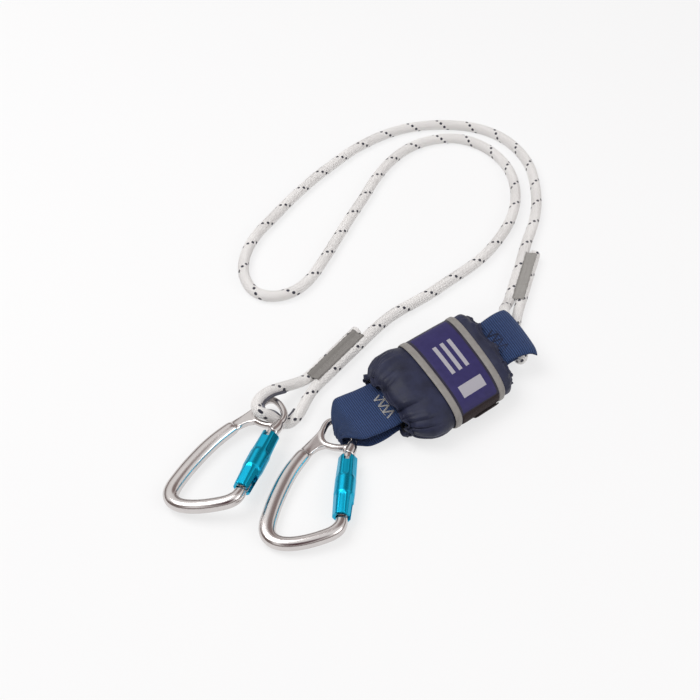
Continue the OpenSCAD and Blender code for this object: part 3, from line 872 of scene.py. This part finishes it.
def puff(x, t):
    """The cover's gathers: deep at its elastic hems, fading towards the wrap."""
    left = np.clip((-31 - x) / 41, 0, 1)
    right = np.clip((x - 25) / 15, 0, 1)
    near = max(left, right)
    if left:
        swell = 3.2 * math.sin(math.pi * min(1, left * 1.15))
        pinch = -2.6 * math.exp(-(((x + 68.5) / 2.2) ** 2))
    else:
        swell = 2.0 * math.sin(math.pi * right)
        pinch = -1.6 * math.exp(-(((x - 37) / 2.0) ** 2))
    folds = (
        0.55 * math.cos(9 * t + 0.7 + 0.05 * x) + 0.4 * math.cos(15 * t + 2.1 - 0.04 * x)
        + 0.35 * math.cos(23 * t + 4.0 + 0.03 * x) + 0.2 * math.cos(37 * t + 1.0)
    )
    deep = 2.3 * near**1.6 * (folds - 0.35 * abs(folds) ** 0.5)
    lumps = 0.9 * near * math.sin(0.21 * x + 3 * t) * math.cos(5 * t + 0.11 * x)
    sag = -0.9 * near if math.sin(t) < 0 else 0.0
    along = (1.5 * near**2 * math.cos(11 * t + 0.5)) * (-1 if left else 1)
    return swell + deep + lumps + pinch + sag, along


def gathered(name, xs, grow, thick, low, look, node):
    """A tube of cloth with the cover's gathers, kept above the floor."""
    o = shell(name, xs, FULL, ROUND_MM, grow, thick, True, puff)
    co = np.array([v.co for v in o.data.vertices])
    co[:, 2] = np.maximum(co[:, 2], low)
    o.data.vertices.foreach_set("co", co.astype(np.float32).ravel())
    dress(o, look)
    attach(o, ROOT)
    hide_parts(node)
    return o


cover_xs = np.concatenate(
    [np.linspace(-72, -30, 60), np.linspace(-28, 24, 24), np.linspace(25, 40, 26)]
)
cover_piece = gathered("cover_shell", cover_xs, -0.1, 1.1, 0.0012, cover_look, "cover")
hems = [
    gathered("hem_tape_" + side, np.linspace(x, x + 4, 8), -1.6, 0.8, 0.0025, hem_look,
             "hem_elastic_" + side)
    for side, x in (("left", -70), ("right", 34))
]

wrap_xs = np.linspace(WRAP_X - WRAP_HALF, WRAP_X + WRAP_HALF, 40)
WRAP_OUT, WRAP_THICK = 1.3, 1.1
wrap = shell("wrap_band", wrap_xs, FULL, ROUND_MM, WRAP_OUT, WRAP_THICK, True)
dress(wrap, wrap_look)
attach(wrap, ROOT)
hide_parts("label_wrap")


def patch(name, x0, x1, t0, t1, grow, thick, look, slot, node, ease=0.5):
    angles, long = spread_angles(math.radians(t0), math.radians(t1), 90)
    o = shell(name, np.linspace(x0, x1, 26), angles, long, grow, thick, False, None, ease)
    layer = o.data.uv_layers["route"]
    uv = np.zeros(2 * len(layer.data), np.float32)
    layer.data.foreach_get("uv", uv)
    uv = uv.reshape(-1, 2)
    if slot == "label":
        uv = (uv - uv.min(0)) / (uv.max(0) - uv.min(0))
        layer.data.foreach_set("uv", uv.ravel())
    dress(o, look)
    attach(o, ROOT)
    if node:
        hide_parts(node)
    return o


panel = patch("label_face", WRAP_X - INNER, WRAP_X + INNER, 28, 166, 1.45, 0.7, panel_look, "label",
              "label_panel")
flap = patch("closing_flap", WRAP_X - INNER, WRAP_X + INNER, 168, 206, 1.5, 1.0, velcro_look,
             "hook_and_loop", "hook_and_loop_strip")
flap_end = patch("flap_end", WRAP_X - 5, WRAP_X + INNER - 0.5, 189, 214, 3.3, 1.0, velcro_look,
      "hook_and_loop", None, 0.3)


def strip(side, x):
    xs = np.linspace(x - STRIP_W / 2, x + STRIP_W / 2, 13)
    o = shell("reflective_" + side, xs, FULL, ROUND_MM, 1.7, 0.8, True, None, 0.55)
    rows = []
    for k, at in enumerate((x - STRIP_W / 2 + 0.9, x + STRIP_W / 2 - 0.9)):
        line = [on_pack(at, t, 2.3 + 0.12 * (i % 2)) for i, t in enumerate(FULL)]
        rows.append(tube("row%d" % k, in_pack(line), 0.00022, 6))
    dress(o, tape_look)
    for r in rows:
        dress(r, light_thread)
    o = joined("reflective_" + side, [o, *rows])
    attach(o, ROOT)
    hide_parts("reflective_strip_" + side)
    return o


strips = [strip("left", WRAP_X - STRIP_X), strip("right", WRAP_X + STRIP_X)]

# ---- webbing loops ----

carabiner_loop_line = [
    [-42, -4, 21.5, 50, 0], [-58, -4, 19.2, 50, 0], [-72, -4, 16.1, 50, 0],
    [-86, -4, 15.2, 50, 0], [-98, -3, 14.4, 50, 0], [-106, -2.5, 14.2, 48, 0],
    [-112, -3.5, 14, 37, 0], [-116.6, -5.5, 13.2, 25, 0], [-118.8, -8.4, 11.2, 15, 0],
    [-119.2, -9.4, 8.6, 12, 0], [-118.8, -9.4, 4.4, 12, 0], [-117, -9.4, 1.9, 13, 0],
    [-112.6, -8, 1.3, 20, 0], [-106, -6, 1.3, 32, 0], [-98, -4, 1.6, 46, 0],
    [-86, -4, 4.5, 50, 0], [-72, -4, 8.8, 50, 0], [-58, -4, 9.9, 50, 0], [-42, -4, 10, 50, 0],
]
rope_loop_line = [
    [24, 4, 19, 50, 0], [34, 5, 18.2, 50, 0], [41, 5.5, 19, 50, 0.04], [48, 6, 22, 50, 0.08],
    [58, 6, 25.3, 50, 0.1], [67, 6, 25.7, 50, 0.12], [71.4, 6, 23.4, 50, 0.12],
    [72.8, 6, 19.2, 50, 0.12], [71.4, 7, 15, 48, 0.12], [67, 8, 12.9, 46, 0.12],
    [58, 8, 12.3, 46, 0.1], [48, 7.5, 12, 47, 0.08], [36, 5.5, 10.5, 49, 0], [24, 4, 10, 50, 0],
]


def webbing_loop(name, line, node):
    """A folded strap with ribs across its width and rounded, tapering edges."""
    p = curve(line, 10)
    p, at = even(p, 0.45)
    across = 22
    w = np.gradient(p[:, [0, 2]], axis=0)
    w = w / np.linalg.norm(w, axis=1)[:, None]
    out = np.stack([-w[:, 1], w[:, 0]], 1)
    rows = []
    for i, q in enumerate(p):
        rib = 0.11 * math.sin(2 * math.pi * at[i] / (1000 * RIB))
        bunch = max(0.0, 1 - q[3] / 50)
        top, low = [], []
        for j in range(across + 1):
            v = 2 * j / across - 1
            half = 1.15 * (1 - 0.75 * abs(v) ** 14) + rib * (1 - abs(v) ** 8)
            edge = np.array([q[4], 1.0]) * q[3] / 2 * v
            wave = 0.5 * bunch * math.cos(3 * math.pi * v) - 0.35 * v * v
            end = np.clip((q[0] - 45) / 28, 0, 1) if q[0] > 0 else 0.0
            upper = np.clip((q[2] - 14) / 8, 0, 1)
            bulge = 1.4 * end**2 * math.cos(math.pi * 0.5 * min(1, abs(v + 0.1)))
            droop = -2.6 * end * upper * np.clip((-v - 0.75) / 0.25, 0, 1) ** 1.5
            spread = -5.6 * end * upper * np.clip((-v - 0.2) / 0.8, 0, 1)
            base = np.array([q[0] + edge[0] + bulge, q[1] + edge[1] + spread, q[2] + droop])
            o2 = np.array([out[i, 0], 0, out[i, 1]])
            top.append(base + o2 * (wave + half))
            low.append(base + o2 * (wave - half))
        rows.append(top[::-1] + low)
    count = 2 * (across + 1)
    faces, corners = grid_faces(len(rows), count)
    uv = corners.copy()
    uv[..., 0] = at[np.minimum(corners[..., 0].astype(int), len(at) - 1)] / 1000
    uv[..., 1] = np.abs(1 - corners[..., 1] / (across + 1))
    faces = [tuple(f) for f in faces]
    n = (len(rows) - 1) * count
    faces += [tuple(range(count))[::-1], tuple(n + j for j in range(count))]
    uv = list(uv.reshape(-1, 2)) + [(0, 0)] * 2 * count
    o = mesh_object(name, in_pack(np.array(rows).reshape(-1, 3)), faces, uv)
    faced_out(o)
    dress(o, webbing_look)
    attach(o, ROOT)
    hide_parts(node)
    return o


left_loop = webbing_loop("webbing_to_connector", carabiner_loop_line, "carabiner_loop")
right_loop = webbing_loop("webbing_to_rope", rope_loop_line, "rope_loop")


TACK_WIDE, TACK_STEP = 8.5, 3.6


def zigzag(name, line, x, y, node, look):
    """Bar-tack sewing on a loop's upper layer: a zigzag between two straight rows."""
    top = curve(line[:8], 10)
    order = np.argsort(top[:, 0])

    def on_top(px, py):
        return [px, py, float(np.interp(px, top[order, 0], top[order, 2])) + 1.45]

    parts = []
    for turn in range(3):  # three overlapping passes, as a bar tack has
        zig = []
        for i in range(7):
            a = np.array([x + TACK_WIDE * (i % 2), y + (i - 3.5) * TACK_STEP])
            b = np.array([x + TACK_WIDE * ((i + 1) % 2), y + (i - 2.5) * TACK_STEP])
            slip = np.array([draw.uniform(-0.3, 0.3), draw.uniform(-0.3, 0.3) + 0.35 * turn])
            zig += [on_top(*(a + slip + (b - a) * k / 5)) for k in range(5)]
        parts.append(tube("zig%d" % turn, in_pack(zig), 0.00021, 6))
    for k, dx in enumerate((0.0, TACK_WIDE)):
        row = [on_top(x + dx + 0.2 * math.sin(1.7 * i), y - 9 + 9 * k + i * 0.7)
               for i in range(14)]
        parts.append(tube("row%d" % k, in_pack(row), 0.00024, 6))
    o = joined(name, parts)
    dress(o, look)
    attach(o, ROOT)
    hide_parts(node)
    return o


left_tack = zigzag("bar_tack_left", carabiner_loop_line, -78.5, -7, "carabiner_loop_stitching",
                   light_thread)
right_tack = zigzag("bar_tack_right", rope_loop_line, 43, 4, "rope_loop_stitching", dark_thread)

# The tear webbing: layers folded to and fro inside the cover
tear_line = []
for k in range(6):
    z, sign = 7.75 + 3 * k, 1 if k % 2 == 0 else -1
    layer = [(-9 - 27 * sign, z), (-9, z), (-9 + 26.5 * sign, z)]
    if k < 5:
        layer.append((-9 + 28 * sign, z + 1.5))
    tear_line += [[x, -2.5, up, 50, 0] for x, up in layer]
tear_strap = webbing_loop("tear_strap", tear_line, "tear_webbing")

# ---- floor and light ----


def floor():
    me = bpy.data.meshes.new("floor")
    me.from_pydata([(-6, -6, 0), (6, -6, 0), (6, 6, 0), (-6, 6, 0)], [], [(0, 1, 2, 3)])
    o = bpy.data.objects.new("floor", me)
    bpy.context.scene.collection.objects.link(o)
    g = Graph("floor_white", (0.26, 0.26, 0.26), 1.0, Specular_IOR_Level=0.0)
    g.set("Emission Color", (1.0, 1.0, 1.0, 1.0))
    g.set("Emission Strength", 0.675)
    g.set("Base Color", g.mix(g.noise(3.0, 2.0), (0.248, 0.248, 0.252), (0.26, 0.26, 0.26)))
    dress(o, g)


floor()


def lamp(name, at, toward, size, power, color=(1, 1, 1)):
    data = bpy.data.lights.new(name, "AREA")
    data.shape, data.size, data.size_y = "RECTANGLE", size[0], size[1]
    data.energy, data.color = power, color
    o = bpy.data.objects.new(name, data)
    bpy.context.scene.collection.objects.link(o)
    o.location = at
    o.rotation_mode = "QUATERNION"
    o.rotation_quaternion = (Vector(toward) - Vector(at)).to_track_quat("-Z", "Y")


lamp("key", (-0.9, 0.3, 1.5), (0, 0.05, 0), (1.1, 1.1), 16)
lamp("fill", (1.3, -0.7, 1.0), (0, 0.05, 0), (0.9, 0.9), 6)


def world():
    w = bpy.data.worlds.new("studio")
    bpy.context.scene.world = w
    w.use_nodes = True
    t = w.node_tree
    back = t.nodes["Background"]
    where = t.nodes.new("ShaderNodeTexCoord").outputs["Generated"]
    split = t.nodes.new("ShaderNodeSeparateXYZ")
    t.links.new(where, split.inputs[0])
    ramp = t.nodes.new("ShaderNodeValToRGB")
    t.links.new(split.outputs[2], ramp.inputs[0])
    stops = [(0.0, (0.9, 0.9, 0.9)), (0.03, (0.16, 0.13, 0.125)), (0.28, (0.3, 0.25, 0.24)),
             (0.45, (0.9, 0.89, 0.88)), (1.0, (1.0, 1.0, 1.0))]
    e = ramp.color_ramp.elements
    e[0].position, e[0].color = stops[0][0], (*stops[0][1], 1)
    e[1].position, e[1].color = stops[-1][0], (*stops[-1][1], 1)
    for at, c in stops[1:-1]:
        e.new(at).color = (*c, 1)
    # Dark cards in the studio, which the polished metal mirrors: [direction, from, to, colour]
    color = ramp.outputs[0]
    for direction, start, full, tone in (
        ((0.25, 0.62, 0.74), 0.86, 0.97, (0.28, 0.22, 0.21)),
        ((0.0, -0.68, 0.73), 0.87, 0.98, (0.09, 0.035, 0.045)),
        ((-0.9, -0.2, 0.38), 0.86, 0.96, (0.2, 0.16, 0.15)),
    ):
        card = t.nodes.new("ShaderNodeVectorMath")
        card.operation = "DOT_PRODUCT"
        t.links.new(where, card.inputs[0])
        card.inputs[1].default_value = direction
        reach = t.nodes.new("ShaderNodeMapRange")
        reach.interpolation_type = "SMOOTHSTEP"
        t.links.new(card.outputs["Value"], reach.inputs[0])
        reach.inputs[1].default_value, reach.inputs[2].default_value = start, full
        mix = t.nodes.new("ShaderNodeMix")
        mix.data_type = "RGBA"
        t.links.new(reach.outputs[0], mix.inputs[0])
        t.links.new(color, mix.inputs[6])
        mix.inputs[7].default_value = (*tone, 1)
        color = mix.outputs[2]
    # Seen directly, past the floor's edge, the studio is as pale as the floor
    seen = t.nodes.new("ShaderNodeMix")
    seen.data_type = "RGBA"
    t.links.new(t.nodes.new("ShaderNodeLightPath").outputs["Is Camera Ray"], seen.inputs[0])
    t.links.new(color, seen.inputs[6])
    seen.inputs[7].default_value = (0.9, 0.9, 0.9, 1)
    t.links.new(seen.outputs[2], back.inputs[0])
    back.inputs[1].default_value = 1.0


world()
bpy.context.scene.view_settings.view_transform = "Standard"
